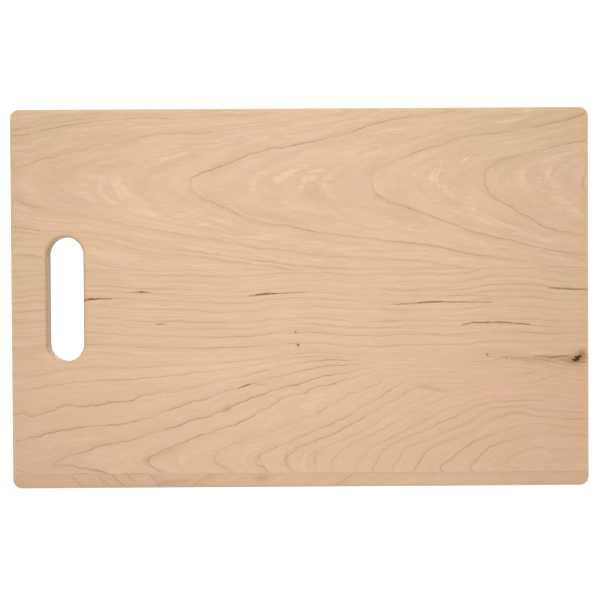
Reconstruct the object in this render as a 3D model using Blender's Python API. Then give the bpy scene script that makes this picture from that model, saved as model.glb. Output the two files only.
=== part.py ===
"""Edge-glued wooden cutting board with a hand slot through one end.

Three cherry staves run along X and are butted edge to edge, with a film of cured glue
in each joint. The board lies flat: the origin is at the centre of its underside, +Z is
up, +X points away from the hand slot and +Y points to the back edge.
All sizes are in metres.
"""

import math

import bmesh
import bpy
from mathutils import Vector

INCH = 0.0254

# Driving dimensions
BOARD_LENGTH = 16.0 * INCH
BOARD_WIDTH = 10.5 * INCH
BOARD_THICKNESS = 0.75 * INCH
CORNER_RADIUS = 0.25 * INCH
EDGE_ROUNDOVER = 0.125 * INCH

SLOT_LENGTH = 3.45 * INCH
SLOT_WIDTH = 1.0 * INCH
SLOT_TO_END = 1.0 * INCH

BACK_STAVE_WIDTH = 0.1132
FRONT_STAVE_WIDTH = 0.4 * INCH
GLUE_THICKNESS = 0.00015
FIT_GAP = 0.0003

# Fineness of the round stretches
CORNER_STEPS = 8
ROUNDOVER_STEPS = 4
SLOT_END_STEPS = 20
SMOOTH_ANGLE = math.radians(30.0)

# Places worked out from the driving dimensions
SLOT_CENTRE_X = -BOARD_LENGTH / 2 + SLOT_TO_END + SLOT_WIDTH / 2
BACK_JOINT_Y = BOARD_WIDTH / 2 - BACK_STAVE_WIDTH
FRONT_JOINT_Y = -BOARD_WIDTH / 2 + FRONT_STAVE_WIDTH
STAVE_SETBACK = GLUE_THICKNESS / 2 + FIT_GAP

UP = Vector((0.0, 0.0, 1.0))
ALONG = Vector((1.0, 0.0, 0.0))
ACROSS = Vector((0.0, 1.0, 0.0))


def clear_scene():
    """Remove whatever the open file holds."""
    for old in list(bpy.data.objects):
        bpy.data.objects.remove(old, do_unlink=True)


def arc(centre_x, centre_y, radius, start, sweep, steps):
    """Points of a circular arc, both ends included."""
    points = []
    for step in range(steps + 1):
        angle = start + sweep * step / steps
        x = centre_x + radius * math.cos(angle)
        y = centre_y + radius * math.sin(angle)
        points.append((x, y))
    return points


def board_outline(inset):
    """Rounded rectangle of the board's plan, drawn in by inset all round."""
    radius = CORNER_RADIUS - inset
    reach_x = BOARD_LENGTH / 2 - CORNER_RADIUS
    reach_y = BOARD_WIDTH / 2 - CORNER_RADIUS
    corners = [(1, 1), (-1, 1), (-1, -1), (1, -1)]
    points = []
    for turn, (side_x, side_y) in enumerate(corners):
        start = turn * math.pi / 2
        points += arc(side_x * reach_x, side_y * reach_y, radius, start, math.pi / 2, CORNER_STEPS)
    return points


def slot_outline(inset):
    """Outline of the hand slot with its round ends, spread out by inset all round."""
    radius = SLOT_WIDTH / 2 + inset
    reach = SLOT_LENGTH / 2 - SLOT_WIDTH / 2
    points = arc(SLOT_CENTRE_X, reach, radius, 0.0, math.pi, SLOT_END_STEPS)
    points += arc(SLOT_CENTRE_X, -reach, radius, math.pi, math.pi, SLOT_END_STEPS)
    return points


def edge_profile():
    """Section of a rounded edge, as (inset, height) from the underside to the top."""
    profile = []
    for step in range(ROUNDOVER_STEPS + 1):
        angle = math.pi / 2 * step / ROUNDOVER_STEPS
        inset = EDGE_ROUNDOVER * (1.0 - math.sin(angle))
        height = EDGE_ROUNDOVER * (1.0 - math.cos(angle))
        profile.append((inset, height))
    upper = [(inset, BOARD_THICKNESS - height) for inset, height in reversed(profile)]
    return profile + upper


def add_wall(bm, outline_at):
    """Skin the rounded wall of one outline; returns its lowest and highest edge loops."""
    rings = []
    for inset, height in edge_profile():
        ring = [bm.verts.new((x, y, height)) for x, y in outline_at(inset)]
        rings.append(ring)
    for lower, upper in zip(rings, rings[1:]):
        for index in range(len(lower)):
            after = (index + 1) % len(lower)
            bm.faces.new((lower[index], lower[after], upper[after], upper[index]))
    rims = []
    for ring in (rings[0], rings[-1]):
        pairs = zip(ring, ring[1:] + ring[:1])
        rims.append([bm.edges.get(pair) for pair in pairs])
    return rims


def board_blank():
    """The whole board as one closed body, before it is parted into staves and glue."""
    bm = bmesh.new()
    outer_rims = add_wall(bm, board_outline)
    slot_rims = add_wall(bm, slot_outline)
    for outer_rim, slot_rim in zip(outer_rims, slot_rims):
        bmesh.ops.triangle_fill(bm, edges=outer_rim + slot_rim, use_beauty=True)
    bmesh.ops.recalc_face_normals(bm, faces=bm.faces)
    return bm


def keep_side(bm, point, direction):
    """Cut the body by a plane, keep what lies along direction, and close the cut."""
    geometry = bm.verts[:] + bm.edges[:] + bm.faces[:]
    cut = bmesh.ops.bisect_plane(
        bm, geom=geometry, plane_co=point, plane_no=direction, clear_inner=True
    )
    rim = [item for item in cut["geom_cut"] if isinstance(item, bmesh.types.BMEdge)]
    bmesh.ops.holes_fill(bm, edges=rim, sides=0)


def wood_material(name, colour, roughness):
    """Plain finish for one sub-part."""
    material = bpy.data.materials.new(name)
    material.use_nodes = True
    shader = material.node_tree.nodes["Principled BSDF"]
    shader.inputs["Base Color"].default_value = (*colour, 1.0)
    shader.inputs["Roughness"].default_value = roughness
    shader.inputs["Metallic"].default_value = 0.0
    return material


def add_piece(name, cuts, colour, roughness):
    """One sub-part: the blank kept on the given side of every (point, direction) cut."""
    bm = board_blank()
    for point, direction in cuts:
        keep_side(bm, point, direction)
    bmesh.ops.triangulate(bm, faces=bm.faces)
    bmesh.ops.recalc_face_normals(bm, faces=bm.faces)
    mesh = bpy.data.meshes.new(name)
    bm.to_mesh(mesh)
    bm.free()
    mesh.shade_smooth()
    mesh.set_sharp_from_angle(angle=SMOOTH_ANGLE)
    mesh.materials.append(wood_material(name + "_finish", colour, roughness))
    piece = bpy.data.objects.new(name, mesh)
    bpy.context.scene.collection.objects.link(piece)
    return piece


def behind(y):
    """Cut that keeps what lies further back than y."""
    return (ACROSS * y, ACROSS)


def before(y):
    """Cut that keeps what lies nearer the front than y."""
    return (ACROSS * y, -ACROSS)


def glue_band(joint_y):
    """The two cuts that leave only a joint's glue film."""
    return [behind(joint_y - GLUE_THICKNESS / 2), before(joint_y + GLUE_THICKNESS / 2)]


def add_staves():
    """The three staves, each set back from its joints by half the glue and the fit gap."""
    add_piece(
        "stave_back",
        [behind(BACK_JOINT_Y + STAVE_SETBACK)],
        colour=(0.74, 0.50, 0.33),
        roughness=0.55,
    )
    add_piece(
        "stave_middle",
        [before(BACK_JOINT_Y - STAVE_SETBACK), behind(FRONT_JOINT_Y + STAVE_SETBACK)],
        colour=(0.72, 0.48, 0.31),
        roughness=0.55,
    )
    add_piece(
        "stave_front",
        [before(FRONT_JOINT_Y - STAVE_SETBACK)],
        colour=(0.64, 0.43, 0.29),
        roughness=0.55,
    )


def add_glue_lines():
    """Cured glue in the joints; the slot parts the back joint's film in two."""
    slot_centre = ALONG * SLOT_CENTRE_X
    glue_colour = (0.46, 0.31, 0.18)
    add_piece(
        "glue_line_back_handle",
        glue_band(BACK_JOINT_Y) + [(slot_centre, -ALONG)],
        colour=glue_colour,
        roughness=0.4,
    )
    add_piece(
        "glue_line_back_main",
        glue_band(BACK_JOINT_Y) + [(slot_centre, ALONG)],
        colour=glue_colour,
        roughness=0.4,
    )
    add_piece("glue_line_front", glue_band(FRONT_JOINT_Y), colour=glue_colour, roughness=0.4)


clear_scene()
add_staves()
add_glue_lines()
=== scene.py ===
"""Looks of an edge-glued cherry cutting board with a hand slot through one end.

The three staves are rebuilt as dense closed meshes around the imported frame. Every vertex
carries where it lies in the tree's growth rings, worked out in three dimensions, so the
figure runs on over the faces, the rounded edges, the slot's wall and the end grain.
All sizes are in metres.
"""

import math

import bpy
import numpy as np
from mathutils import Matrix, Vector
from mathutils.geometry import delaunay_2d_cdt


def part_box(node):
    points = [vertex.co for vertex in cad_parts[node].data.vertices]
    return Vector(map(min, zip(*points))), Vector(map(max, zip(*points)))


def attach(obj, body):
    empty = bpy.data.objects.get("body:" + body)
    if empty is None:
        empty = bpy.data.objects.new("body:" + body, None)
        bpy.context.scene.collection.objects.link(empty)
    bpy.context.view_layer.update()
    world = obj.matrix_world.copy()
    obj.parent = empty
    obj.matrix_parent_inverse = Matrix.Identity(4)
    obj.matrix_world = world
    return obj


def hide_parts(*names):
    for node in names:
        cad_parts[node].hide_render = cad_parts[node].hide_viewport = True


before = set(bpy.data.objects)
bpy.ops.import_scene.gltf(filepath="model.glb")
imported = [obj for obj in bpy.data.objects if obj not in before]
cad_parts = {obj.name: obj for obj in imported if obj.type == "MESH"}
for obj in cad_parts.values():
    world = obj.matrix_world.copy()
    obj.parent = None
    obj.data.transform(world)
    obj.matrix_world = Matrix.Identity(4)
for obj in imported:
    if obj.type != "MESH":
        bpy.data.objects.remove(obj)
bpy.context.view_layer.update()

# ---------------------------------------------------------------- sizes from the frame
BACK_LOW, BACK_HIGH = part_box("stave_back")
MIDDLE_LOW, MIDDLE_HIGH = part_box("stave_middle")
FRONT_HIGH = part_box("stave_front")[1]
HALF_LENGTH = BACK_HIGH.x
HALF_WIDTH = BACK_HIGH.y
TOP = BACK_HIGH.z
BACK_JOINT = (BACK_LOW.y + MIDDLE_HIGH.y) / 2
FRONT_JOINT = (MIDDLE_LOW.y + FRONT_HIGH.y) / 2
SLOT_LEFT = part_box("glue_line_back_handle")[1].x
SLOT_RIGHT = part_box("glue_line_back_main")[0].x
SLOT_X = (SLOT_LEFT + SLOT_RIGHT) / 2
SLOT_RADIUS = (SLOT_RIGHT - SLOT_LEFT) / 2
# Sizes that the boxes don't give; they are those of the CAD part
SLOT_LENGTH = 0.08763
SLOT_REACH = SLOT_LENGTH / 2 - SLOT_RADIUS
CORNER_RADIUS = 0.00635
ROUNDOVER = 0.003175
# Half the hairline that a joint leaves between two staves, with the glue film inside it
HALF_GLUE = 0.000095

# Fineness of the meshes: spacing of the points, and how many rings each part of the rim has
PERIMETER_STEP = 0.0011
TOP_STEP = 0.0013
UNDER_STEP = 0.0023
FINE_STEP = 0.00032
WALL_RINGS = 9
ROUNDOVER_RINGS = 7
LEAST_ARC_POINTS = 6
# Rows lie closer than the points in a row, as in a net of equal-sided triangles
ROW_SHARE = 0.87
# How far from the rim the first inner points stay, as a share of their spacing
RIM_CLEARANCE = 0.6
SHARP_ANGLE = math.radians(40)
# For the triangulation: keep what lies inside the rim, and merge points closer than this
INSIDE_ONLY = 1
MERGE_DISTANCE = 1e-7


# ---------------------------------------------------------------- outlines of the staves
def straight(start, end, ease_start, ease_end):
    """Points from start up to, but without, end, each with the way its rim eases inwards."""
    start, end = np.array(start), np.array(end)
    count = max(1, round(float(np.linalg.norm(end - start)) / PERIMETER_STEP))
    t = (np.arange(count) / count)[:, None]
    points = start + (end - start) * t
    eases = np.array(ease_start) + (np.array(ease_end) - np.array(ease_start)) * t
    return np.hstack([points, eases])


def bend(centre, radius, start, sweep, inward):
    """An arc without its last point; inward is -1 if the wood is inside it, 1 if outside."""
    count = max(LEAST_ARC_POINTS, round(abs(sweep) * radius / PERIMETER_STEP))
    angle = start + sweep * np.arange(count) / count
    rays = np.stack([np.cos(angle), np.sin(angle)], axis=1)
    return np.hstack([np.array(centre) + radius * rays, inward * rays])


QUARTER = math.pi / 2
LEFTWARD, RIGHTWARD = (-1.0, 0.0), (1.0, 0.0)
UPWARD, DOWNWARD = (0.0, 1.0), (0.0, -1.0)
CORNER_X = HALF_LENGTH - CORNER_RADIUS
CORNER_Y = HALF_WIDTH - CORNER_RADIUS


def back_path():
    """Outline of the back stave, with the wood always on the left."""
    y = BACK_JOINT + HALF_GLUE
    ends, top = HALF_LENGTH, HALF_WIDTH
    return np.vstack([
        straight((-ends, y), (SLOT_LEFT, y), RIGHTWARD, LEFTWARD),
        straight((SLOT_LEFT, y), (SLOT_LEFT, SLOT_REACH), LEFTWARD, LEFTWARD),
        bend((SLOT_X, SLOT_REACH), SLOT_RADIUS, math.pi, -math.pi, 1),
        straight((SLOT_RIGHT, SLOT_REACH), (SLOT_RIGHT, y), RIGHTWARD, RIGHTWARD),
        straight((SLOT_RIGHT, y), (ends, y), RIGHTWARD, LEFTWARD),
        straight((ends, y), (ends, CORNER_Y), LEFTWARD, LEFTWARD),
        bend((CORNER_X, CORNER_Y), CORNER_RADIUS, 0, QUARTER, -1),
        straight((CORNER_X, top), (-CORNER_X, top), DOWNWARD, DOWNWARD),
        bend((-CORNER_X, CORNER_Y), CORNER_RADIUS, QUARTER, QUARTER, -1),
        straight((-ends, CORNER_Y), (-ends, y), RIGHTWARD, RIGHTWARD),
    ])


def middle_path():
    """Outline of the middle stave, with the wood always on the left."""
    low, high = FRONT_JOINT + HALF_GLUE, BACK_JOINT - HALF_GLUE
    ends = HALF_LENGTH
    return np.vstack([
        straight((-ends, low), (ends, low), RIGHTWARD, LEFTWARD),
        straight((ends, low), (ends, high), LEFTWARD, LEFTWARD),
        straight((ends, high), (SLOT_RIGHT, high), LEFTWARD, RIGHTWARD),
        straight((SLOT_RIGHT, high), (SLOT_RIGHT, -SLOT_REACH), RIGHTWARD, RIGHTWARD),
        bend((SLOT_X, -SLOT_REACH), SLOT_RADIUS, 0, -math.pi, 1),
        straight((SLOT_LEFT, -SLOT_REACH), (SLOT_LEFT, high), LEFTWARD, LEFTWARD),
        straight((SLOT_LEFT, high), (-ends, high), LEFTWARD, RIGHTWARD),
        straight((-ends, high), (-ends, low), RIGHTWARD, RIGHTWARD),
    ])


def front_path():
    """Outline of the front stave, with the wood always on the left."""
    y = FRONT_JOINT - HALF_GLUE
    ends, low = HALF_LENGTH, -HALF_WIDTH
    return np.vstack([
        straight((-ends, y), (-ends, -CORNER_Y), RIGHTWARD, RIGHTWARD),
        bend((-CORNER_X, -CORNER_Y), CORNER_RADIUS, math.pi, QUARTER, -1),
        straight((-CORNER_X, low), (CORNER_X, low), UPWARD, UPWARD),
        bend((CORNER_X, -CORNER_Y), CORNER_RADIUS, -QUARTER, QUARTER, -1),
        straight((ends, -CORNER_Y), (ends, y), LEFTWARD, LEFTWARD),
        straight((ends, y), (-ends, y), LEFTWARD, RIGHTWARD),
    ])


def edge_profile():
    """Section of the rim from the underside to the top, as (inset, height)."""
    angles = np.linspace(0, QUARTER, ROUNDOVER_RINGS + 1)
    lower = [(ROUNDOVER * (1 - math.sin(a)), ROUNDOVER * (1 - math.cos(a))) for a in angles]
    wall = np.linspace(ROUNDOVER, TOP - ROUNDOVER, WALL_RINGS + 1)[1:-1]
    upper = [(inset, TOP - height) for inset, height in reversed(lower)]
    return lower + [(0.0, height) for height in wall] + upper


def rim_distance(x, y):
    """How far a point of the plan lies inside the board's outline and clear of the slot."""
    over_x = np.abs(x) - CORNER_X
    over_y = np.abs(y) - CORNER_Y
    outside = np.hypot(np.maximum(over_x, 0), np.maximum(over_y, 0))
    board = CORNER_RADIUS - outside - np.minimum(np.maximum(over_x, over_y), 0)
    slot = np.hypot(x - SLOT_X, np.maximum(np.abs(y) - SLOT_REACH, 0)) - SLOT_RADIUS
    return np.minimum(board, slot)


# ---------------------------------------------------------------- random fields
# Side of the lattice of random values, which repeats, and where on it the origin lies
LATTICE = 32
LATTICE_OFFSET = 1000.0


def drift(x, y, z, size, seed):
    """Smooth random field between -1 and 1 with features of the given (x, y, z) size."""
    lattice = np.random.default_rng(seed).uniform(-1, 1, (LATTICE,) * 3)
    cells, parts = [], []
    for value, extent in zip((x, y, z), size):
        scaled = value / extent + LATTICE_OFFSET
        cell = np.floor(scaled).astype(int)
        t = scaled - cell
        cells.append(cell)
        # Eases from one lattice value to the next, with smooth slopes as well
        parts.append(t * t * t * (t * (6 * t - 15) + 10))
    total = np.zeros_like(x)
    for corner in range(8):
        bits = (corner & 1, corner >> 1 & 1, corner >> 2 & 1)
        share = np.ones_like(x)
        for part, bit in zip(parts, bits):
            share = share * (part if bit else 1 - part)
        i, j, k = ((cell + bit) % LATTICE for cell, bit in zip(cells, bits))
        total += share * lattice[i, j, k]
    return total


def oval(x, y, centre, half_length, half_width, degrees):
    """1 on an oval's outline, growing with the square of the distance from its centre."""
    turn = math.radians(degrees)
    along = (x - centre[0]) * math.cos(turn) + (y - centre[1]) * math.sin(turn)
    across = (y - centre[1]) * math.cos(turn) - (x - centre[0]) * math.sin(turn)
    return (along / half_length) ** 2 + (across / half_width) ** 2


def soft_step(low, high, value):
    """0 below low, 1 above high, smooth in between."""
    t = np.clip((value - low) / (high - low), 0, 1)
    return t * t * (3 - 2 * t)


# ---------------------------------------------------------------- growth rings
# Rings beyond the known lines: how many, how unevenly spaced, and how strong their lines are
SPARE_RINGS = 8
SPARE_UNEVENNESS = 0.18
SPARE_WEIGHT = 0.55
SPARE_WEIGHT_SWING = 0.3
# Step for measuring a field's slope, and the least slope, which keeps flat cuts from smearing
NUDGE = 0.0001
LEAST_SLOPE = 0.012
# How much of a ring's spread over a flat cut its line and bands share: 0 all, 1 none
EVENNESS = 0.88


def count_rings(value, marks, step):
    """Age in rings, strength of the lines and width of a ring, at a field's value.

    marks are (value, strength) of the known lines, and more of about the given step follow
    on both sides of them, made uneven by two waves that don't repeat together.
    """
    marks = sorted(marks)
    values = [mark[0] for mark in marks]
    weights = [mark[1] for mark in marks]
    for extra in range(SPARE_RINGS):
        wobble = step * (1 + SPARE_UNEVENNESS * math.sin(2.3 * extra + 1))
        values = [values[0] - wobble] + values + [values[-1] + wobble]
        weight = SPARE_WEIGHT + SPARE_WEIGHT_SWING * math.sin(1.7 * extra)
        weights = [weight] + weights + [weight]
    age = np.interp(value, values, np.arange(len(values)))
    weight = np.interp(value, values, weights)
    width = np.interp(value, values, np.gradient(values))
    return age, weight, width


def face_slope(field, value, points, normals):
    """How fast a field changes along the surface at each point."""
    slopes = []
    for axis in range(3):
        nudged = points.copy()
        nudged[:, axis] += NUDGE
        slopes.append((field(*nudged.T) - value) / NUDGE)
    slope = np.stack(slopes, axis=1)
    slope -= normals * np.sum(slope * normals, axis=1, keepdims=True)
    return np.maximum(np.linalg.norm(slope, axis=1), LEAST_SLOPE)


def push(x, y, bends):
    """How far the rings are pushed aside, towards +Y, by a list of bends in the trunk."""
    total = np.zeros_like(x)
    for centre, half_length, half_width, degrees, shift in bends:
        total += shift * np.exp(-oval(x, y, centre, half_length, half_width, degrees))
    return total


# Back stave: flat-sawn, so its nearly flat rings leave the face in long arches.
BACK_PITH_Y = 0.0805
BACK_PITH_DEPTH = 0.150
BACK_TAPER = 0.0125
BACK_TAPER_GROWTH = 0.012
BACK_RING_STEP = 0.0042
# Where each ring line's arch has its tip along X, and how strong the line is
BACK_ARCHES = (
    (-0.520, 0.5), (-0.378, 0.9), (-0.213, 0.6), (-0.0774, 1.0),
    (0.0523, 0.8), (0.1295, 0.8), (0.2004, 0.6),
)
# Bends in the rings: (x, y), half length, half width, turn in degrees and how far they go
BACK_BENDS = (
    ((-0.140, 0.120), 0.060, 0.010, 5, 0.0065), ((-0.112, 0.113), 0.035, 0.010, 5, 0.0025),
    ((-0.056, 0.095), 0.020, 0.009, 25, -0.0028), ((0.165, 0.122), 0.055, 0.012, 7, -0.0045),
    ((0.190, 0.107), 0.035, 0.010, 10, -0.0060), ((0.165, 0.044), 0.060, 0.014, -12, -0.0078),
    ((-0.165, 0.040), 0.050, 0.009, 0, 0.0050),
)


def back_rise(x):
    """How much nearer the pith the face gets along X, as a difference of squares."""
    return BACK_TAPER * x + BACK_TAPER_GROWTH * x * x


def back_field(x, y, z):
    """Distance of a point from the face's own ring, outwards; it is the same along a ring.

    Every drift is a set of ripples: how far they go, their size along x, y and z, and a seed.
    """
    centre = BACK_PITH_Y + 0.0025 * drift(x, 0 * x, 0 * x, (0.09, 1, 1), 11)
    across = y - push(x, y, BACK_BENDS)
    across += 0.0012 * drift(x, y, z, (0.030, 0.016, 0.016), 12)
    across += 0.0005 * drift(x, y, z, (0.010, 0.008, 0.008), 13)
    along = x + 0.004 * drift(x, y, z, (0.030, 0.015, 0.015), 14)
    along += 0.0013 * drift(x, y, z, (0.009, 0.0035, 0.006), 15)
    rise = back_rise(along)
    depth = np.sqrt(BACK_PITH_DEPTH ** 2 - rise) - (TOP - z)
    square = (across - centre) ** 2 + depth ** 2 - BACK_PITH_DEPTH ** 2
    return square / (2 * BACK_PITH_DEPTH)


BACK_MARKS = [(-back_rise(tip) / (2 * BACK_PITH_DEPTH), weight) for tip, weight in BACK_ARCHES]

# Middle stave: sawn beside the pith, so its rings stand nearly upright along the back joint
# and lean over into close arches along the front joint.
MIDDLE_PITH_Y = -0.1160
MIDDLE_PITH_DEPTH = 0.003
MIDDLE_RING_STEP = 0.0060
# Where each arch has its tip along X, and how strong the line is
MIDDLE_ARCHES = (
    (-0.173, 1.4), (-0.1077, 0.9), (-0.0613, 0.6), (-0.0317, 1.0), (-0.0113, 0.9),
    (0.0084, 0.5), (0.0211, 0.5), (0.0394, 0.5), (0.0506, 0.9), (0.0647, 0.8),
    (0.0795, 0.8), (0.0985, 0.8), (0.1189, 0.9), (0.1457, 0.7), (0.1718, 0.5), (0.200, 0.3),
)
# How far from the pith line each upright ring lies, and how strong its line is
MIDDLE_UPRIGHTS = (
    (0.0709, 1.1), (0.0729, 1.1), (0.0747, 0.7), (0.0758, 0.5), (0.0817, 0.8),
    (0.0890, 0.8), (0.0948, 0.6), (0.0985, 0.7), (0.1065, 0.6), (0.1125, 0.5),
    (0.1168, 0.5), (0.1205, 0.6), (0.1258, 0.4), (0.1310, 0.6), (0.1365, 0.3),
)
# Bends in its rings, as for the back stave
MIDDLE_BENDS = (
    ((-0.105, -0.098), 0.055, 0.012, 14, 0.0065), ((-0.045, -0.070), 0.030, 0.012, 14, 0.0050),
    ((-0.042, -0.101), 0.030, 0.008, 14, 0.0040), ((-0.205, -0.092), 0.035, 0.020, 0, -0.0045),
    ((-0.155, -0.079), 0.035, 0.010, 10, -0.0030), ((-0.125, -0.088), 0.025, 0.006, 10, -0.0035),
    ((0.115, -0.119), 0.095, 0.011, 0, -0.0045), ((0.045, -0.107), 0.100, 0.0075, 0, 0.0042),
    ((0.150, -0.022), 0.034, 0.030, 0, -0.0045), ((0.012, -0.092), 0.045, 0.012, 14, -0.0065),
    ((-0.045, -0.119), 0.035, 0.012, 0, 0.0070), ((0.020, -0.079), 0.045, 0.010, 18, -0.0045),
)
# From where to where along Y the rings grow curly, and how curly the upright ones are
CURL_START = -0.045
CURL_FULL = -0.070
UPRIGHT_CURL = 0.35
KNOT_X, KNOT_Y = 0.1960, -0.0430
# The rings part around the knot: how far they are pushed, over what length and width, and
# how sharply they part
KNOT_PUSH = 0.0055
KNOT_REACH_X = 0.034
KNOT_REACH_Y = 0.013
KNOT_SHARPNESS = 3
# Where along X the arches' lift and reach fall, over what length, and by half how much
LIFT_X, LIFT_RUN, LIFT_HALF = 0.061, 0.105, 0.0345
REACH_X, REACH_RUN, REACH_HALF = 0.112, 0.068, 0.033
LEAST_REACH = 0.0115
# How softly the lift sets in at the end of its reach
PULL_SOFTNESS = 0.04


def middle_lift(x):
    """What the field gains on the pith line; it falls along X, so every arch has a tip there."""
    return LIFT_HALF * (1 - np.tanh((x - LIFT_X) / LIFT_RUN))


def middle_reach(x):
    """How far from the pith line that gain dies out."""
    return LEAST_REACH + REACH_HALF * (1 - np.tanh((x - REACH_X) / REACH_RUN))


def knot_push(x, y):
    """How far the knot holds the rings off, away from its own middle."""
    beside = (y - KNOT_Y) / KNOT_REACH_Y
    near = np.exp(-((x - KNOT_X) / KNOT_REACH_X) ** 2 - 0.5 * beside ** 2)
    return KNOT_PUSH * np.tanh(KNOT_SHARPNESS * beside) * near


def middle_field(x, y, z):
    """Distance of a point from the pith, with the lift added; it is the same along a ring."""
    across = y - push(x, y, MIDDLE_BENDS) - knot_push(x, y)
    across += 0.0016 * drift(x, y, z, (0.045, 0.030, 0.030), 21)
    curl = UPRIGHT_CURL + (1 - UPRIGHT_CURL) * soft_step(CURL_START, CURL_FULL, y)
    across += 0.0011 * curl * drift(x, y, z, (0.011, 0.009, 0.010), 22)
    across += 0.0006 * curl * drift(x, y, z, (0.0042, 0.0035, 0.005), 24)
    centre = MIDDLE_PITH_Y + 0.003 * drift(x, 0 * x, 0 * x, (0.05, 1, 1), 23)
    depth = MIDDLE_PITH_DEPTH + TOP - z
    away = np.hypot(across - centre, depth) - MIDDLE_PITH_DEPTH
    pull = PULL_SOFTNESS * np.logaddexp(0, (1 - away / middle_reach(x)) / PULL_SOFTNESS)
    return away + middle_lift(x) * pull


MIDDLE_MARKS = [(float(middle_lift(tip)), weight) for tip, weight in MIDDLE_ARCHES]
MIDDLE_MARKS += list(MIDDLE_UPRIGHTS)

# Places where the ring lines nearly fade out: (x, y), half length, half width, turn in degrees
QUIET_PLACES = (
    ((0.145, -0.057), 0.085, 0.017, -2), ((0.190, -0.106), 0.030, 0.012, 0),
    ((-0.125, 0.062), 0.045, 0.012, 0), ((0.175, -0.037), 0.045, 0.006, 0),
    ((0.182, -0.076), 0.024, 0.006, 0), ((0.075, -0.046), 0.030, 0.007, 0),
)
# How much of the ring lines' strength is lost at the heart of such a place
QUIET_LOSS = 0.8


def line_strength(x, y):
    """How much of the ring lines' strength is left at a place."""
    left = np.ones_like(x)
    for centre, half_length, half_width, degrees in QUIET_PLACES:
        left *= 1 - QUIET_LOSS * np.exp(-oval(x, y, centre, half_length, half_width, degrees))
    return left


# Front stave: a narrow offcut whose rings cross it at a slant. The slant turns over from
# TURN_START to TURN_END along X, by LEAN_DROP, and the rings dip by DIP through the thickness.
FRONT_RING_STEP = 0.03
FRONT_LEAN = 0.75
LEAN_DROP = 2.4
TURN_START = -0.100
TURN_END = -0.076
DIP = 0.5
# Where each ring line crosses the middle of the strip along X, and how strong it is
FRONT_CROSSINGS = [
    (-0.205, 0.5), (-0.157, 1.2), (-0.139, 1.0), (-0.1285, 1.1), (-0.117, 0.9),
    (-0.1035, 1.2), (-0.073, 1.2), (0.031, 1.0), (0.110, 0.3), (0.170, 0.3),
]


def front_field(x, y, z):
    """Where along X the ring through a point crosses the middle of the strip's top."""
    middle = (FRONT_JOINT - HALF_WIDTH) / 2
    lean = FRONT_LEAN - LEAN_DROP * soft_step(TURN_START, TURN_END, x)
    along = x + lean * (y - middle) + DIP * (z - TOP)
    return along + 0.0025 * drift(x, y, z, (0.02, 0.006, 0.008), 31)


# ---------------------------------------------------------------- marks in the wood, with painted shade and highlight
# Colours that the wood is multiplied by
GUM = (0.25, 0.11, 0.0)
BARK = (0.22, 0.09, 0.0)
BROWN_STAIN = (0.86, 0.82, 0.76)
OLIVE_STAIN = (0.82, 0.81, 0.70)
RUSSET = (0.72, 0.54, 0.40)
MOSS = (0.90, 1.00, 0.70)
# Painted highlight
PALE = (1.05, 1.06, 1.06)
KNOT_BROWN = (0.58, 0.47, 0.33)
STREAK_BROWN = (0.81, 0.74, 0.64)
STRIP_PALE = (1.07, 1.08, 1.10)
BROWN_SHADE = (0.90, 0.85, 0.79)
# Painted shade for the slot's wall and rim
PAINTED_SHADE_IN_SLOT = (0.66, 0.63, 0.48)
PINK_FLUSH = (1.02, 0.97, 0.985)
PINK_SHADE = (0.97, 0.945, 0.955)
PALE_FLUSH = (1.03, 1.045, 1.05)
# Painted shade along the front edge, which faces away from the lamp
FRONT_EDGE_PAINTED_SHADE = (0.85, 0.955, 1.09)

# Depth over which the gum, the knot with the stains, and the front edge's painted shade fade
GUM_DEPTH = 0.004
KNOT_DEPTH = 0.009
FRONT_SHADE_DEPTH = 0.010

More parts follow.
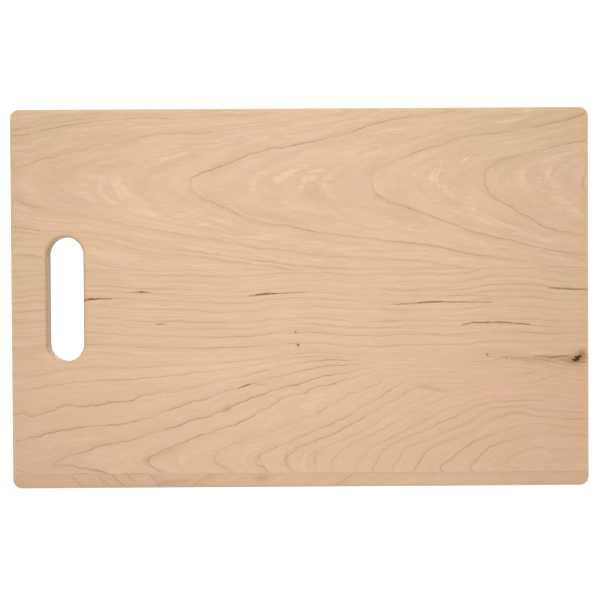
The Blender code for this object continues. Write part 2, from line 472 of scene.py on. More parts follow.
# Gum streaks: the (x, y, half width) points of each, and how dark it is
GUM_STREAKS = (
    (((-0.1524, -0.0014, 0.0009), (-0.1500, -0.0002, 0.0010), (-0.1415, 0.0002, 0.0006),
      (-0.1320, 0.0001, 0.0002)), 1.00),
    (((-0.1238, 0.0045, 0.0001), (-0.1150, 0.0048, 0.0004), (-0.1120, 0.0050, 0.0009),
      (-0.1085, 0.0047, 0.0004), (-0.1030, 0.0044, 0.0001)), 0.80),
    (((-0.0375, 0.0015, 0.0001), (-0.0300, 0.0023, 0.0007), (-0.0235, 0.0030, 0.0011),
      (-0.0150, 0.0033, 0.0004), (0.0060, 0.0042, 0.0001)), 0.90),
    (((-0.1008, -0.0180, 0.0005), (-0.0943, -0.0177, 0.0003)), 0.75),
    (((0.0640, -0.0050, 0.0002), (0.0790, -0.0043, 0.0004), (0.0919, -0.0032, 0.0008),
      (0.1123, -0.0034, 0.0004), (0.1345, -0.0038, 0.0002)), 0.80),
    (((0.1130, -0.0198, 0.0002), (0.1210, -0.0180, 0.0006), (0.1430, -0.0178, 0.0007),
      (0.1620, -0.0195, 0.0002)), 0.75),
    (((0.1744, 0.0061, 0.0004), (0.1815, 0.0059, 0.0010), (0.1900, 0.0052, 0.0009),
      (0.2040, 0.0049, 0.0010)), 0.60),
    (((0.0920, 0.0065, 0.0003), (0.1020, 0.0065, 0.0003)), 0.30),
    (((0.1010, 0.0010, 0.0003), (0.1313, 0.0009, 0.0003)), 0.30),
    (((-0.0440, -0.0634, 0.0003), (-0.0385, -0.0614, 0.0008), (-0.0345, -0.0600, 0.0003)), 0.70),
    (((-0.0335, -0.0602, 0.0004), (-0.0225, -0.0612, 0.0003)), 0.35),
    (((0.1650, -0.0418, 0.0003), (0.1715, -0.0419, 0.0006), (0.1757, -0.0427, 0.0011),
      (0.1795, -0.0424, 0.0006), (0.1860, -0.0418, 0.0008), (0.1882, -0.0419, 0.0004)), 0.60),
    (((0.1400, -0.0425, 0.0004), (0.1530, -0.0430, 0.0006), (0.1650, -0.0438, 0.0003)), 0.22),
    (((-0.2000, -0.1196, 0.0003), (-0.1900, -0.1226, 0.0003)), 0.40),
    (((-0.1600, -0.1226, 0.0002), (-0.1500, -0.1226, 0.0003)), 0.40),
    (((-0.1260, -0.1227, 0.0003), (-0.1070, -0.1227, 0.0002)), 0.35),
)
# Pin knots: (x, y), radius and how dark
PIN_KNOTS = (
    ((-0.0034, -0.0241), 0.0009, 0.75), ((-0.0017, -0.0330), 0.0012, 1.00),
    ((0.1314, -0.0406), 0.0010, 0.90), ((0.1449, -0.0429), 0.0007, 0.60),
)
# Stains, and a painted highlight by a gum streak: (x, y), half length, half width, turn in
# degrees and colour
STAINS = (
    ((-0.1083, -0.1132), 0.0034, 0.0026, 25, BROWN_STAIN),
    ((-0.0519, -0.0776), 0.0036, 0.0024, 40, BROWN_STAIN),
    ((0.0910, -0.0638), 0.0090, 0.0016, -12, BROWN_STAIN),
    ((-0.0280, -0.1266), 0.0050, 0.0030, 0, BROWN_STAIN),
    ((-0.0900, -0.1290), 0.0120, 0.0020, 4, BROWN_STAIN),
    ((-0.0930, -0.1070), 0.0120, 0.0022, 22, BROWN_SHADE),
    ((-0.0290, -0.1125), 0.0012, 0.0035, 15, BROWN_SHADE),
    ((-0.0100, -0.1135), 0.0009, 0.0060, 5, BROWN_SHADE),
    ((0.0098, -0.1135), 0.0008, 0.0050, 5, BROWN_SHADE),
    ((0.1200, -0.1310), 0.1050, 0.0075, 0, STRIP_PALE),
    ((0.1500, -0.0700), 0.0850, 0.0450, 0, PINK_FLUSH),
    ((0.0300, -0.1070), 0.0750, 0.0120, 0, PINK_FLUSH),
    ((-0.1050, 0.0980), 0.0350, 0.0140, 0, PINK_FLUSH),
    ((0.0000, 0.0600), 0.0600, 0.0350, -10, PINK_SHADE),
    ((-0.0600, -0.0510), 0.0850, 0.0080, 3, PALE_FLUSH),
    ((0.1950, 0.0900), 0.0250, 0.0400, 0, PALE_FLUSH),
    ((0.1740, -0.0441), 0.0240, 0.0021, -3, STREAK_BROWN),
    ((0.1946, -0.0438), 0.0050, 0.0030, 15, KNOT_BROWN),
    ((0.1600, -0.0540), 0.0100, 0.0007, 18, BROWN_SHADE),
    ((0.1720, -0.0575), 0.0110, 0.0006, 16, BROWN_SHADE),
    ((0.1930, -0.0443), 0.0085, 0.0048, 0, OLIVE_STAIN),
    ((0.1979, -0.0397), 0.0030, 0.0026, 10, RUSSET),
    ((0.1979, -0.0458), 0.0024, 0.0016, 20, MOSS),
    # Painted highlight just below the left end of a gum streak
    ((0.1790, 0.0040), 0.0050, 0.0009, -6, PALE),
)
# Voids in the knot: (x, y), half length, half width, turn in degrees
VOIDS = (
    ((0.1950, -0.0430), 0.0024, 0.0010, 12), ((0.1938, -0.0447), 0.0024, 0.0010, 12),
    ((0.1990, -0.0466), 0.0009, 0.0006, 20),
)
# How deep and ragged they are, and where their rims fade, in squares of their size
VOID_DEPTH = 0.0016
VOID_RAGGEDNESS = 1.1
VOID_SOFTNESS = (0.5, 1.3)
# How far the gum is sunk, how ragged it is, and where gum and pin knots fade, as shares of
# their half width or radius
GUM_SUNK = 0.00012
GUM_RAGGEDNESS = 0.35
GUM_SOFTNESS = (0.15, 1.25)
PIN_SOFTNESS = (0.35, 0.9)
# The faint ring around a pin knot: how dark, and its radius and width in the knot's radii
PIN_RING_DARK = 0.15
PIN_RING_RADIUS = 1.4
PIN_RING_WIDTH = 0.3
# Painted shade in the slot's wall and the rim beside it: from where to where it fades in beside
# the slot, along Y and downwards, how strong it is at the top, and how much is added down the
# wall
PAINTED_SLOT_BESIDE = (-0.0004, 0.0020)
PAINTED_SLOT_ALONG = (-0.042, -0.030)
PAINTED_SLOT_DOWN = (0.001, 0.012)
PAINTED_SLOT_TOP = 0.45
PAINTED_SLOT_WALL = 0.80
# From where to where the painted shade along the front edge sets in, measured from the outline
FRONT_SHADE_REACH = (0.0022, 0.0006)
# Size of the finely meshed oval around the knot, and how far fine meshes reach past the gum
KNOT_FINE_LENGTH = 0.0080
KNOT_FINE_WIDTH = 0.0070
GUM_MARGIN = 0.0005


def beside_course(x, y, course):
    """Distance from a line through (x, y, half width) points, and its half width there."""
    nearest = np.full_like(x, np.inf)
    width = np.ones_like(x)
    for (x0, y0, half0), (x1, y1, half1) in zip(course, course[1:]):
        run = np.array([x1 - x0, y1 - y0])
        t = ((x - x0) * run[0] + (y - y0) * run[1]) / np.dot(run, run)
        t = np.clip(t, 0, 1)
        gap = np.hypot(x - x0 - t * run[0], y - y0 - t * run[1])
        width = np.where(gap < nearest, half0 + (half1 - half0) * t, width)
        nearest = np.minimum(gap, nearest)
    return nearest, width


def void_share(x, y):
    """1 inside the knot's voids, 0 outside, with ragged rims."""
    ragged = VOID_RAGGEDNESS * drift(x, y, 0 * x, (0.0011, 0.0006, 1), 41)
    share = np.zeros_like(x)
    for centre, half_length, half_width, degrees in VOIDS:
        size = oval(x, y, centre, half_length, half_width, degrees)
        share = np.maximum(share, 1 - soft_step(*VOID_SOFTNESS, size + ragged))
    return share


def near_mark(x, y):
    """Which points of the plan need a fine mesh, because a small mark is there."""
    near = oval(x, y, (KNOT_X, KNOT_Y), KNOT_FINE_LENGTH, KNOT_FINE_WIDTH, 0) < 1
    for course, _ in GUM_STREAKS:
        gap, width = beside_course(x, y, course)
        near |= gap < width + GUM_MARGIN
    for (pin_x, pin_y), radius, _ in PIN_KNOTS:
        near |= np.hypot(x - pin_x, y - pin_y) < 2 * radius
    return near


def wood_marks_and_painted_light(x, y, z):
    """Colour that the marks, the painted shade and the painted highlight multiply the wood by,
    and how far the marks lower its face.
    """
    down = TOP - z
    tint = np.ones((len(x), 3))
    sunk = np.zeros_like(x)

    def stain_and_painted_light(share, colour):
        tint[:] *= 1 + share[:, None] * (np.array(colour) - 1)

    ragged = GUM_RAGGEDNESS * drift(x, y, z, (0.0030, 0.0006, 0.0010), 42)
    fade = np.exp(-down / GUM_DEPTH)
    for course, dark in GUM_STREAKS:
        gap, width = beside_course(x, y, course)
        share = dark * fade * (1 - soft_step(*GUM_SOFTNESS, gap / width + ragged))
        stain_and_painted_light(share, GUM)
        sunk += GUM_SUNK * share
    for (pin_x, pin_y), radius, dark in PIN_KNOTS:
        gap = np.hypot(x - pin_x, y - pin_y) / radius
        share = dark * fade * (1 - soft_step(*PIN_SOFTNESS, gap))
        ring = np.exp(-((gap - PIN_RING_RADIUS) / PIN_RING_WIDTH) ** 2)
        stain_and_painted_light(np.maximum(share, PIN_RING_DARK * dark * fade * ring), GUM)
        sunk += GUM_SUNK * share
    # Painted shade in the slot: wall and rim darker, more so down the wall, but not at its front
    # end
    slot_gap = np.hypot(x - SLOT_X, np.maximum(np.abs(y) - SLOT_REACH, 0)) - SLOT_RADIUS
    painted_slot_shade = (1 - soft_step(*PAINTED_SLOT_BESIDE, slot_gap)) * soft_step(*PAINTED_SLOT_ALONG, y)
    stain_and_painted_light(painted_slot_shade * (PAINTED_SLOT_TOP + PAINTED_SLOT_WALL * soft_step(*PAINTED_SLOT_DOWN, down)), PAINTED_SHADE_IN_SLOT)
    # Painted shade along the rounded front edge, darker and cooler
    front_edge = soft_step(*FRONT_SHADE_REACH, y + HALF_WIDTH)
    stain_and_painted_light(front_edge * np.exp(-down / FRONT_SHADE_DEPTH), FRONT_EDGE_PAINTED_SHADE)
    fade = np.exp(-down / KNOT_DEPTH)
    for centre, half_length, half_width, degrees, colour in STAINS:
        size = oval(x, y, centre, half_length, half_width, degrees)
        stain_and_painted_light(fade * np.exp(-size), colour)
    void = fade * void_share(x, y)
    stain_and_painted_light(void, BARK)
    lowered = (sunk + VOID_DEPTH * void) * (z > TOP / 2)
    return tint, lowered


# ---------------------------------------------------------------- meshes of the staves
def grid_points(low, high, step):
    """A grid of points with every other row shifted by half a step."""
    rows = max(2, round((high[1] - low[1]) / (step * ROW_SHARE)))
    columns = max(2, round((high[0] - low[0]) / step))
    row, column = np.mgrid[0:rows + 1, 0:columns + 1]
    x = low[0] + (column + 0.5 * (row % 2)) * (high[0] - low[0]) / columns
    y = low[1] + row * (high[1] - low[1]) / rows
    return np.stack([x.ravel(), y.ravel()], axis=1)


def clear_of_rim(points, span, margin):
    """Which points of the plan lie on a stave's flat face, a margin inside its rim."""
    x, y = points.T
    clear = rim_distance(x, y) > ROUNDOVER + margin
    return clear & (y > span[0] + margin) & (y < span[1] - margin)


def cap_points(span, step):
    """Inner points of a stave's flat face; span is its lowest and highest Y."""
    points = grid_points((-HALF_LENGTH, span[0]), (HALF_LENGTH, span[1]), step)
    return points[clear_of_rim(points, span, RIM_CLEARANCE * step)]


def fine_points(span, coarse):
    """The coarse points of a stave's top, with close ones instead around its small marks."""
    points = grid_points((-HALF_LENGTH, span[0]), (HALF_LENGTH, span[1]), FINE_STEP)
    points = points[near_mark(*points.T)]
    points = points[clear_of_rim(points, span, RIM_CLEARANCE * FINE_STEP)]
    return np.vstack([coarse[~near_mark(*coarse.T)], points])


def cap_faces(rim, inner, first_rim, first_inner):
    """Triangles over a rim loop and the points inside it, as indices into the mesh."""
    flat = [Vector(point) for point in np.vstack([rim, inner])]
    count = len(rim)
    result = delaunay_2d_cdt(flat, [], [list(range(count))], INSIDE_ONLY, MERGE_DISTANCE, True)
    triangles, vertex_origins, inside = result[2], result[3], result[5]
    origins = [found[0] for found in vertex_origins]
    index = [first_rim + i if i < count else first_inner + i - count for i in origins]
    kept = [face for face, owners in zip(triangles, inside) if owners]
    return [[index[corner] for corner in face] for face in kept]


def stave_mesh(name, path, span):
    """Closed mesh of one stave: rounded wall, dense top and underside."""
    profile = edge_profile()
    count = len(path)
    rings = []
    for inset, height in profile:
        plan = path[:, :2] + inset * path[:, 2:]
        rings.append(np.column_stack([plan, np.full(count, height)]))
    faces = []
    for ring in range(len(profile) - 1):
        for i in range(count):
            after = (i + 1) % count
            low, high = ring * count, (ring + 1) * count
            faces.append([low + i, low + after, high + after, high + i])
    under = cap_points(span, UNDER_STEP)
    over = fine_points(span, cap_points(span, TOP_STEP))
    first_under = len(profile) * count
    first_over = first_under + len(under)
    last_ring = (len(profile) - 1) * count
    bottom = cap_faces(rings[0][:, :2], under, 0, first_under)
    faces += [face[::-1] for face in bottom]
    faces += cap_faces(rings[-1][:, :2], over, last_ring, first_over)
    flats = [
        np.column_stack([under, np.zeros(len(under))]),
        np.column_stack([over, np.full(len(over), TOP)]),
    ]
    vertices = np.vstack(rings + flats)
    mesh = bpy.data.meshes.new(name)
    mesh.from_pydata(vertices.tolist(), [], faces)
    mesh.shade_smooth()
    mesh.set_sharp_from_angle(angle=SHARP_ANGLE)
    return mesh


def read_vertices(mesh, what):
    """Places or normals of a mesh's vertices, one row each."""
    values = np.zeros(len(mesh.vertices) * 3, np.float32)
    mesh.vertices.foreach_get(what, values)
    return values.reshape(-1, 3).astype(float)


def write_attribute(mesh, name, values):
    attribute = mesh.attributes.new(name, "FLOAT", "POINT")
    attribute.data.foreach_set("value", np.asarray(values, np.float32))


def write_tint(mesh, tint):
    attribute = mesh.attributes.new("tint", "FLOAT_COLOR", "POINT")
    rgba = np.column_stack([tint, np.ones(len(tint))])
    attribute.data.foreach_set("color", rgba.astype(np.float32).ravel())


# Over which stretch of Y the fine streaks calm down, how far, and how unevenly
CALM_START = -0.040
CALM_FULL = -0.068
CALM_LOSS = 0.55
BUSY_UNEVENNESS = 0.15
# How much of a line's strength is lost on the rounded edges
ROUNDOVER_LOSS = 0.6
MM_PER_M = 1000


def busyness(x, y, z):
    """How lively the fine streaks are: less so where the middle stave's rings lean over."""
    leaning = soft_step(CALM_START, CALM_FULL, y)
    uneven = BUSY_UNEVENNESS * drift(x, y, z, (0.05, 0.02, 0.02), 51)
    return 1 - CALM_LOSS * leaning + uneven


def add_stave(name, node, path, span, field, marks, ring_step, material):
    """One stave: its mesh, the rings and marks on its vertices, and its place in the frame."""
    mesh = stave_mesh(name, path, span)
    points = read_vertices(mesh, "co")
    value = field(*points.T)
    normals = read_vertices(mesh, "normal")
    slope = face_slope(field, value, points, normals)
    age, weight, width = count_rings(value, marks, ring_step)
    rounding = 4 * normals[:, 2] ** 2 * (1 - normals[:, 2] ** 2)
    weight *= line_strength(*points.T[:2]) * (1 - ROUNDOVER_LOSS * rounding)
    write_attribute(mesh, "ring_age", age)
    write_attribute(mesh, "ring_weight", weight)
    write_attribute(mesh, "ring_width", width * MM_PER_M / slope ** EVENNESS)
    write_attribute(mesh, "busyness", busyness(*points.T))
    tint, sunk = wood_marks_and_painted_light(*points.T)
    write_tint(mesh, tint)
    points[:, 2] -= sunk
    mesh.vertices.foreach_set("co", points.astype(np.float32).ravel())
    mesh.materials.append(material)
    piece = bpy.data.objects.new(name, mesh)
    bpy.context.scene.collection.objects.link(piece)
    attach(piece, "root")
    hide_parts(node)


# ---------------------------------------------------------------- materials
class Net:
    """Short ways to add shader nodes to one material."""

    def __init__(self, name):
        self.material = bpy.data.materials.new(name)
        self.material.use_nodes = True
        self.tree = self.material.node_tree
        self.shader = self.tree.nodes["Principled BSDF"]

    def plug(self, socket, value):
        """Link a node's output to a socket, or set the socket to a constant."""
        if isinstance(value, bpy.types.NodeSocket):
            self.tree.links.new(value, socket)
        else:
            socket.default_value = value

    def math(self, operation, first, second=0.0, clamp=False):
        node = self.tree.nodes.new("ShaderNodeMath")
        node.operation = operation
        node.use_clamp = clamp
        self.plug(node.inputs[0], first)
        self.plug(node.inputs[1], second)
        return node.outputs[0]

    def plus(self, first, second):
        return self.math("ADD", first, second)

    def minus(self, first, second):
        return self.math("SUBTRACT", first, second)

    def times(self, first, second):
        return self.math("MULTIPLY", first, second)

    def attribute(self, name, output="Fac"):
        node = self.tree.nodes.new("ShaderNodeAttribute")
        node.attribute_name = name
        return node.outputs[output]

    def position(self):
        return self.tree.nodes.new("ShaderNodeTexCoord").outputs["Object"]

    def stretch(self, vector, scale):
        node = self.tree.nodes.new("ShaderNodeVectorMath")
        node.operation = "MULTIPLY"
        self.plug(node.inputs[0], vector)
        self.plug(node.inputs[1], scale)
        return node.outputs[0]

    def combine(self, x, y, z):
        node = self.tree.nodes.new("ShaderNodeCombineXYZ")
        for socket, value in zip(node.inputs, (x, y, z)):
            self.plug(socket, value)
        return node.outputs[0]

    def separate(self, vector):
        node = self.tree.nodes.new("ShaderNodeSeparateXYZ")
        self.plug(node.inputs[0], vector)
        return node.outputs

    def noise(self, vector, detail=2.0, roughness=0.5, distortion=0.0):
        node = self.tree.nodes.new("ShaderNodeTexNoise")
        self.plug(node.inputs["Vector"], vector)
        node.inputs["Scale"].default_value = 1.0
        node.inputs["Detail"].default_value = detail
        node.inputs["Roughness"].default_value = roughness
        node.inputs["Distortion"].default_value = distortion
        return node.outputs["Fac"]

    def pattern(self, grain, **looks):
        """Noise over the piece, with grain features per metre along x, y and z."""
        return self.noise(self.stretch(self.position(), grain), **looks)

    def window(self, value, low, high):
        """0 at low and 1 at high, smooth in between; low may be above high."""
        node = self.tree.nodes.new("ShaderNodeMapRange")
        node.interpolation_type = "SMOOTHSTEP"
        flipped = low > high
        self.plug(node.inputs["Value"], value)
        node.inputs["From Min"].default_value = min(low, high)
        node.inputs["From Max"].default_value = max(low, high)
        node.inputs["To Min"].default_value = 1.0 if flipped else 0.0
        node.inputs["To Max"].default_value = 0.0 if flipped else 1.0
        return node.outputs["Result"]

    def fade(self, distance, length):
        """exp(-distance / length)"""
        return self.math("EXPONENT", self.times(distance, -1.0 / length))

    def mix(self, factor, first, second, blend="MIX"):
        """Mix two colours; the numbered sockets are the ones this node uses for colours."""
        node = self.tree.nodes.new("ShaderNodeMix")
        node.data_type = "RGBA"
        node.blend_type = blend
        self.plug(node.inputs[0], factor)
        for socket, value in zip((node.inputs[6], node.inputs[7]), (first, second)):
            self.plug(socket, (*value, 1.0) if isinstance(value, tuple) else value)
        return node.outputs[2]

    def multiply(self, first, second):
        return self.mix(1.0, first, second, "MULTIPLY")

    def bump(self, height, strength, distance):
        node = self.tree.nodes.new("ShaderNodeBump")
        node.inputs["Strength"].default_value = strength
        node.inputs["Distance"].default_value = distance
        self.plug(node.inputs["Height"], height)
        self.plug(self.shader.inputs["Normal"], node.outputs["Normal"])

    def normal(self):
        return self.tree.nodes.new("ShaderNodeNewGeometry").outputs["True Normal"]


# Thickness of a ring line and of the tan band outside it, how far both wander, and how thick
# the line's inner side is as a share of its outer side
LINE_MM = 0.34
BAND_MM = 2.8
RAGGED_MM = 1.7
INNER_SIDE = 0.4
# What the wood's own tan is multiplied by for ring lines, silky streaks and dull flecks
LINE_SHARE = (0.61, 0.455, 0.39)
PALE_SHARE = (1.19, 1.17, 1.30)
DIM_SHARE = 0.85
# Darker wood keeps its warmth: red falls less than green, and blue falls more
RED_POWER = 0.84
BLUE_POWER = 1.22
# What the colour is multiplied by where the grain ends
END_GRAIN_SHARE = (0.90, 0.87, 0.84)

# How many features per metre each random pattern has along x, y and z
RAGGED_GRAIN = (90.0, 320.0, 320.0)
PATCHY_GRAIN = (28.0, 60.0, 60.0)
CLOUD_GRAIN = (9.0, 26.0, 26.0)
PATCH_GRAIN = (45.0, 150.0, 150.0)
STRAND_GRAIN = (52.0, 520.0, 520.0)
FLECK_GRAIN = (130.0, 850.0, 850.0)
PORE_GRAIN = (420.0, 5200.0, 5200.0)
GLUE_GRAIN = (260.0, 400.0, 900.0)
# The same for streaks that keep to the rings: broad ones and wisps along x, all along y and z
BROAD_GRAIN = 22.0
WISP_GRAIN = 50.0
STREAK_GRAIN_Y = 60.0
STREAK_GRAIN_Z = 90.0

# From which value to which each pattern sets in
PATCHY_WINDOW = (0.32, 0.68)
STREAK_WINDOW = (0.28, 0.72)
TAN_WINDOW = (0.80, 1.60)
SILK_WINDOW = (1.13, 1.36)
PALE_FLECK_WINDOW = (0.56, 0.74)
DIM_FLECK_WINDOW = (0.44, 0.28)
PORE_WINDOW = (0.36, 0.26)
END_GRAIN_WINDOW = (0.60, 0.98)
GLUE_WINDOW = (0.3, 0.7)
# Between which parts of a ring the silk sets in and ends
SILK_START = (0.18, 0.40)
SILK_END = (0.78, 0.55)

# How much is left of a ring line in its weakest patches, and how opaque a full line is
LEAST_LINE = 0.30
LINE_OPACITY = 0.85
# How much band, clouds and patches turn the wood from pink to tan
BAND_TAN = 0.15
CLOUD_TAN = 1.2
PATCH_TAN = 1.2
# How much streaks and clouds lighten the wood and the band darkens it
STREAK_CONTRAST = 0.13
CLOUD_LIGHT = 0.07
BAND_DARK = 0.045
BASE_SHADE = 0.965
# Silk: shares of strands and wisps, and how much shows everywhere and halfway between lines
STRAND_SHARE = 0.7
WISP_SHARE = 1.5
SILK_ANYWHERE = 0.15
SILK_HALFWAY = 0.75
# How opaque flecks and pores are
PALE_FLECKS = 0.26
DIM_FLECKS = 0.30
PORE_OPACITY = 0.22
# Roughness of the oiled wood, and what streaks and end grain add to it
WOOD_ROUGHNESS = 0.50
STREAK_ROUGHNESS = 0.14
END_ROUGHNESS = 0.12
SHEEN = 0.3
SHEEN_ROUGHNESS = 0.45
# Fine relief: how strong it is, how high, and how much streaks and lines count beside pores
WOOD_BUMP = 0.35
WOOD_RELIEF = 0.00006
STREAK_RELIEF = 0.4
LINE_RELIEF = 0.5
# The same for the glue
GLUE_ROUGHNESS = 0.35
GLUE_UNEVENNESS = 0.2
GLUE_BUMP = 0.2
GLUE_RELIEF = 0.00003


def ring_distances(net):
    """Ring age with a ragged edge, and the distances outwards and inwards of the nearest line."""
    width = net.attribute("ring_width")
    ragged = net.pattern(RAGGED_GRAIN, detail=4.0, roughness=0.6)
    ragged = net.times(net.minus(ragged, 0.5), RAGGED_MM)
    age = net.plus(net.attribute("ring_age"), net.math("DIVIDE", ragged, width))
    part = net.math("FRACT", age)
    after = net.times(part, width)
    before = net.times(net.minus(1.0, part), width)
    return age, part, after, before


def ring_line(net, after, before):
    """How strongly the ring line, and the tan band outside it, show."""
    weight = net.attribute("ring_weight")
    patchy = net.plus(LEAST_LINE, net.window(net.pattern(PATCHY_GRAIN), *PATCHY_WINDOW))
    edge = net.math("MAXIMUM", net.fade(after, LINE_MM), net.fade(before, INNER_SIDE * LINE_MM))
    edge = net.math("MULTIPLY", net.times(edge, weight), patchy, clamp=True)
    band = net.times(net.fade(after, BAND_MM), weight)
    return edge, band


def ring_streaks(net, age, grain, age_scale):
    """Streaks drawn out along X that keep to the rings; age_scale is how many fit in one."""
    x, y, z = net.separate(net.position())
    along = net.times(x, grain)
    around = net.times(age, age_scale)
    across = net.plus(net.times(y, STREAK_GRAIN_Y), net.times(z, STREAK_GRAIN_Z))
    return net.noise(net.combine(along, around, across), detail=4.0, roughness=0.6)


def wood_hue(net, band, clouds, pink, tan):
    """Pink inside the ring lines and tan outside them, in soft patches."""
    patches = net.pattern(PATCH_GRAIN)
    tan_share = net.plus(net.times(band, BAND_TAN), net.times(clouds, CLOUD_TAN))
    tan_share = net.plus(tan_share, net.times(patches, PATCH_TAN))
    return net.mix(net.window(tan_share, *TAN_WINDOW), pink, tan)


def shaded(net, colour, band, clouds, streaks):
    """Colour with streaks along the rings, soft clouds, and a darker band outside each line."""
    shade = net.minus(net.window(streaks, *STREAK_WINDOW), 0.5)
    shade = net.times(net.times(shade, net.attribute("busyness")), STREAK_CONTRAST)
    shade = net.plus(shade, net.times(clouds, CLOUD_LIGHT))
    shade = net.minus(shade, net.times(band, BAND_DARK))
    shade = net.plus(shade, BASE_SHADE)
    red = net.math("POWER", shade, RED_POWER)
    blue = net.math("POWER", shade, BLUE_POWER)
    return net.multiply(colour, net.combine(red, shade, blue))


def silk(net, age, part, silk_scale, silkiness):
    """Strength of the pale silky streaks, which lie halfway between the ring lines."""
    halfway = net.times(net.window(part, *SILK_START), net.window(part, *SILK_END))
    strands = net.pattern(STRAND_GRAIN, detail=3.0, roughness=0.6, distortion=0.35)
    wisps = net.times(ring_streaks(net, age, WISP_GRAIN, silk_scale), WISP_SHARE)
    strength = net.window(net.plus(net.times(strands, STRAND_SHARE), wisps), *SILK_WINDOW)
    here = net.plus(SILK_ANYWHERE, net.times(halfway, SILK_HALFWAY))
    return net.times(net.times(strength, here), silkiness)


def wood(name, pink, tan, streak_scale, silk_scale, silkiness):
    """Cherry: ring lines, tan bands outside them, streaks along them, flecks and pores.

    streak_scale and silk_scale are how many streaks, broad and fine, fit in a ring, and
    silkiness is how strong the fine pale ones are.
    """
    net = Net(name)
    line = tuple(share * channel for share, channel in zip(LINE_SHARE, tan))
    pale = tuple(share * channel for share, channel in zip(PALE_SHARE, tan))
    dim = tuple(DIM_SHARE * channel for channel in tan)
    age, part, after, before = ring_distances(net)
    edge, band = ring_line(net, after, before)
    streaks = ring_streaks(net, age, BROAD_GRAIN, streak_scale)
    clouds = net.pattern(CLOUD_GRAIN, detail=3.0)
    colour = wood_hue(net, band, clouds, pink, tan)
    colour = shaded(net, colour, band, clouds, streaks)
    colour = net.mix(silk(net, age, part, silk_scale, silkiness), colour, pale)

    flecks = net.pattern(FLECK_GRAIN, roughness=0.55)
    pale_flecks = net.times(net.window(flecks, *PALE_FLECK_WINDOW), PALE_FLECKS)
    dim_flecks = net.times(net.window(flecks, *DIM_FLECK_WINDOW), DIM_FLECKS)
    pores = net.window(net.pattern(PORE_GRAIN, detail=1.0), *PORE_WINDOW)
    colour = net.mix(pale_flecks, colour, pale)
    colour = net.mix(dim_flecks, colour, dim)
    colour = net.mix(net.times(pores, PORE_OPACITY), colour, line)
    colour = net.mix(net.times(edge, LINE_OPACITY), colour, line)
    colour = net.multiply(colour, net.attribute("tint", "Color"))

    facing = net.math("ABSOLUTE", net.separate(net.normal())[0])
    end_grain = net.window(facing, *END_GRAIN_WINDOW)
    colour = net.mix(end_grain, colour, net.multiply(colour, END_GRAIN_SHARE))
    net.plug(net.shader.inputs["Base Color"], colour)

    rough = net.plus(WOOD_ROUGHNESS, net.times(streaks, STREAK_ROUGHNESS))
    rough = net.plus(rough, net.times(end_grain, END_ROUGHNESS))
    net.plug(net.shader.inputs["Roughness"], rough)
    net.shader.inputs["Sheen Weight"].default_value = SHEEN
    net.shader.inputs["Sheen Roughness"].default_value = SHEEN_ROUGHNESS
    relief = net.minus(net.times(streaks, STREAK_RELIEF), pores)
    relief = net.minus(relief, net.times(edge, LINE_RELIEF))
    net.bump(relief, WOOD_BUMP, WOOD_RELIEF)
    return net.material


def glue(name, light, dark):
    """Cured glue: amber brown, a little uneven and slightly shiny."""
    net = Net(name)
    clouds = net.pattern(GLUE_GRAIN, detail=3.0)
    colour = net.mix(net.window(clouds, *GLUE_WINDOW), light, dark)
    net.plug(net.shader.inputs["Base Color"], colour)
    rough = net.plus(GLUE_ROUGHNESS, net.times(clouds, GLUE_UNEVENNESS))
    net.plug(net.shader.inputs["Roughness"], rough)
    net.bump(clouds, GLUE_BUMP, GLUE_RELIEF)
    return net.material


# ---------------------------------------------------------------- the board
BACK_SPAN = (BACK_JOINT + HALF_GLUE, HALF_WIDTH)
MIDDLE_SPAN = (FRONT_JOINT + HALF_GLUE, BACK_JOINT - HALF_GLUE)
FRONT_SPAN = (-HALF_WIDTH, FRONT_JOINT - HALF_GLUE)
PINK = (0.776, 0.494, 0.322)
TAN = (0.732, 0.496, 0.286)
STRIP_PINK = (0.712, 0.444, 0.290)
STRIP_TAN = (0.670, 0.446, 0.255)
GLUE_LIGHT = (0.66, 0.44, 0.28)
GLUE_DARK = (0.54, 0.36, 0.21)

add_stave(
    "back_stave", "stave_back", back_path(), BACK_SPAN, back_field, BACK_MARKS, BACK_RING_STEP,
    wood("back_wood", PINK, TAN, streak_scale=6.5, silk_scale=12.0, silkiness=1.0),
)
add_stave(
    "middle_stave", "stave_middle", middle_path(), MIDDLE_SPAN, middle_field, MIDDLE_MARKS,
    MIDDLE_RING_STEP,
    wood("middle_wood", PINK, TAN, streak_scale=6.0, silk_scale=6.0, silkiness=0.4),
)
add_stave(
    "front_stave", "stave_front", front_path(), FRONT_SPAN, front_field, FRONT_CROSSINGS,
    FRONT_RING_STEP,
    wood("front_wood", STRIP_PINK, STRIP_TAN, streak_scale=9.0, silk_scale=12.0, silkiness=0.4),
)
glue_material = glue("cured_glue", GLUE_LIGHT, GLUE_DARK)
for node_name in ("glue_line_back_handle", "glue_line_back_main", "glue_line_front"):
    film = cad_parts[node_name]
    film.data.materials.clear()
    film.data.materials.append(glue_material)


# ---------------------------------------------------------------- stage, light and camera
WHITE = (1.0, 1.0, 1.0, 1.0)
FLOOR_GREY = (0.42, 0.42, 0.42, 1.0)
FLOOR_GLOW = 0.85
FLOOR_HALF = 4.0
# The floor lies a hair below the board, so that the two don't share a plane
FLOOR_DROP = 0.0002
STUDIO_GLOW = 0.70
KEY_PLACE = (0.0, 1.1, 2.5)
KEY_TARGET = (-0.015, 0.005, 0.0)
KEY_RADIUS = 0.15
KEY_BEAM_RADIUS = 0.35
KEY_POWER = 110.0
# The camera looks straight down, but for a degree of tilt and a slight turn
CAMERA_PLACE = (-0.0041, 0.0143, 0.9553)
CAMERA_TILT = (-0.959, -0.248, -0.334)
LENS_MM = 80.0
SENSOR_MM = 36.0


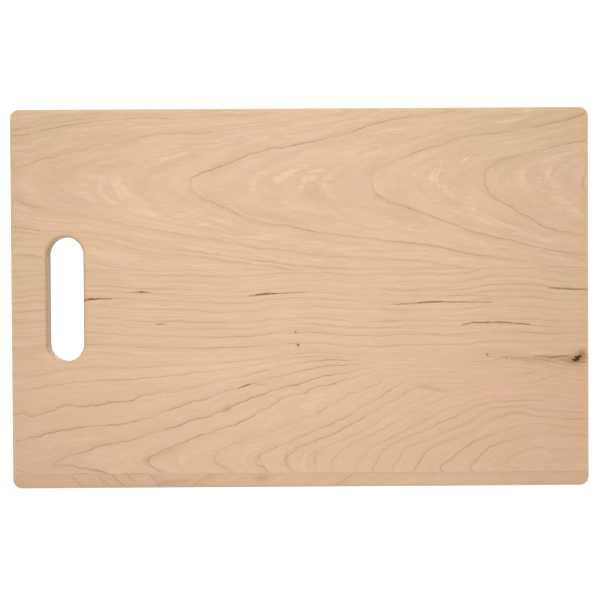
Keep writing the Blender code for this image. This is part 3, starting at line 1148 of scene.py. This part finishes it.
def add_floor():
    """Plain pale floor that glows a little, as a light table does."""
    half = FLOOR_HALF
    mesh = bpy.data.meshes.new("floor")
    corners = [(-half, -half, 0), (half, -half, 0), (half, half, 0), (-half, half, 0)]
    mesh.from_pydata(corners, [], [(0, 1, 2, 3)])
    net = Net("floor_white")
    net.shader.inputs["Base Color"].default_value = FLOOR_GREY
    net.shader.inputs["Roughness"].default_value = 0.9
    net.shader.inputs["Specular IOR Level"].default_value = 0.0
    net.shader.inputs["Emission Color"].default_value = WHITE
    net.shader.inputs["Emission Strength"].default_value = FLOOR_GLOW
    mesh.materials.append(net.material)
    floor = bpy.data.objects.new("floor", mesh)
    floor.location.z = -FLOOR_DROP
    bpy.context.scene.collection.objects.link(floor)


def add_key():
    """Soft round lamp beyond the back edge; its beam is brightest just left of the middle."""
    place, target = Vector(KEY_PLACE), Vector(KEY_TARGET)
    light = bpy.data.lights.new("key", "SPOT")
    light.energy = KEY_POWER
    light.shadow_soft_size = KEY_RADIUS
    light.spot_size = 2 * math.atan(KEY_BEAM_RADIUS / (target - place).length)
    light.spot_blend = 1.0
    lamp = bpy.data.objects.new("key", light)
    lamp.location = place
    lamp.rotation_euler = (target - place).to_track_quat("-Z", "Y").to_euler()
    bpy.context.scene.collection.objects.link(lamp)


def add_camera():
    """Camera at the photograph's viewing angle."""
    camera = bpy.data.cameras.new("camera")
    camera.lens = LENS_MM
    camera.sensor_width = SENSOR_MM
    seat = bpy.data.objects.new("camera", camera)
    seat.location = CAMERA_PLACE
    seat.rotation_euler = [math.radians(angle) for angle in CAMERA_TILT]
    bpy.context.scene.collection.objects.link(seat)
    bpy.context.scene.camera = seat


def add_world():
    """Even white light from all round."""
    world = bpy.data.worlds.new("studio")
    world.use_nodes = True
    background = world.node_tree.nodes["Background"]
    background.inputs["Color"].default_value = WHITE
    background.inputs["Strength"].default_value = STUDIO_GLOW
    bpy.context.scene.world = world


add_floor()
add_key()
add_camera()
add_world()
bpy.context.scene.view_settings.view_transform = "Standard"
